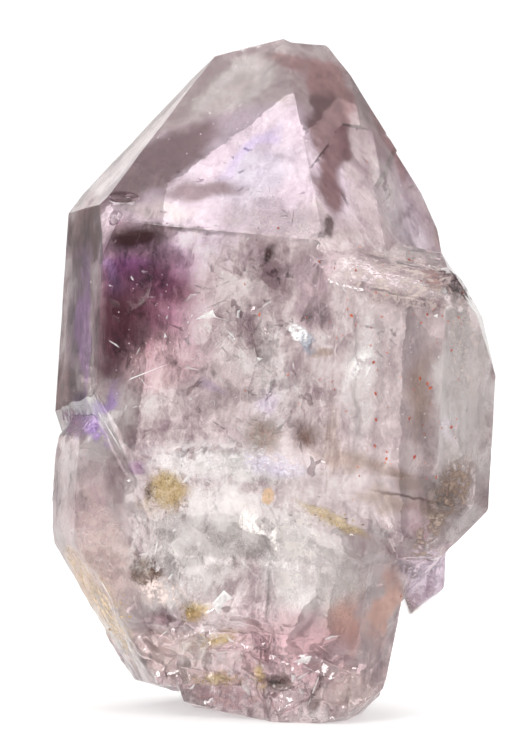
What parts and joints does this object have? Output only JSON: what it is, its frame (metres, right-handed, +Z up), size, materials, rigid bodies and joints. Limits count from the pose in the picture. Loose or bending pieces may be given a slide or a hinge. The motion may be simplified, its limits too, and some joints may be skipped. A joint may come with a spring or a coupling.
{
  "type": "amethyst crystal cluster",
  "caption": "Pale amethyst cluster: broad clear crystals grown side by side with pointed tips and a broken foot cut flat to stand on.",
  "frame": {"origin": "centre of the bounding box on the flat cut at the foot", "axes": "+Z up through the tip, the broadest crystal face toward -Y, the short companion crystal toward +X"},
  "size_m": [0.0258, 0.0226, 0.0387],
  "materials": {
    "amethyst": "clear to milky pale amethyst quartz with vitreous growth faces and shell-like broken foot"
  },
  "bodies": {
    "root": {"amethyst_cluster": "amethyst"}
  },
  "joints": []
}
